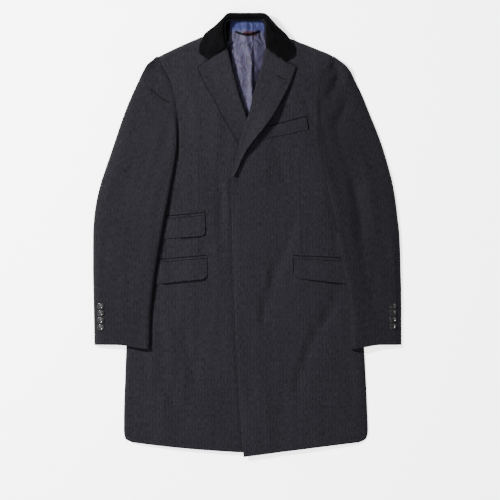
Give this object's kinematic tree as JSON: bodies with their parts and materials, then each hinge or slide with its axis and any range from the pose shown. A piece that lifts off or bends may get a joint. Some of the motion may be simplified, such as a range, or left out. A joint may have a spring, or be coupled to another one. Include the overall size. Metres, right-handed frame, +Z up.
{
  "type": "chesterfield coat",
  "caption": "Single-breasted three-quarter coat with a concealed front, velvet collar and flap pockets, laid flat on its back.",
  "frame": {"origin": "on the surface the coat lies on, under the middle of its outline", "axes": "+X across the coat to the wearer's left, +Y up the coat to the collar, +Z up from the surface, out of the coat's front"},
  "size_m": [0.7096, 1.0192, 0.0555],
  "materials": {
    "wool": "matt",
    "velvet": "matt",
    "satin": "satin",
    "tape": "matt",
    "woven_tab": "matt",
    "horn": "gloss"
  },
  "bodies": {
    "root": {"back_right": "wool", "back_left": "wool", "front_right": "wool", "front_left": "wool", "lapel_right": "wool", "lapel_left": "wool", "collar": "velvet", "top_sleeve_right": "wool", "top_sleeve_left": "wool", "under_sleeve_right": "wool", "under_sleeve_left": "wool", "chest_welt": "wool", "flap_right": "wool", "flap_ticket": "wool", "flap_left": "wool", "jet_right": "wool", "jet_ticket": "wool", "jet_left": "wool", "lining": "satin", "hanger_loop": "tape", "hanger_tab": "woven_tab", "cuff_button_right_1": "horn", "cuff_button_right_2": "horn", "cuff_button_right_3": "horn", "cuff_button_right_4": "horn", "cuff_button_left_1": "horn", "cuff_button_left_2": "horn", "cuff_button_left_3": "horn", "cuff_button_left_4": "horn"}
  },
  "joints": []
}
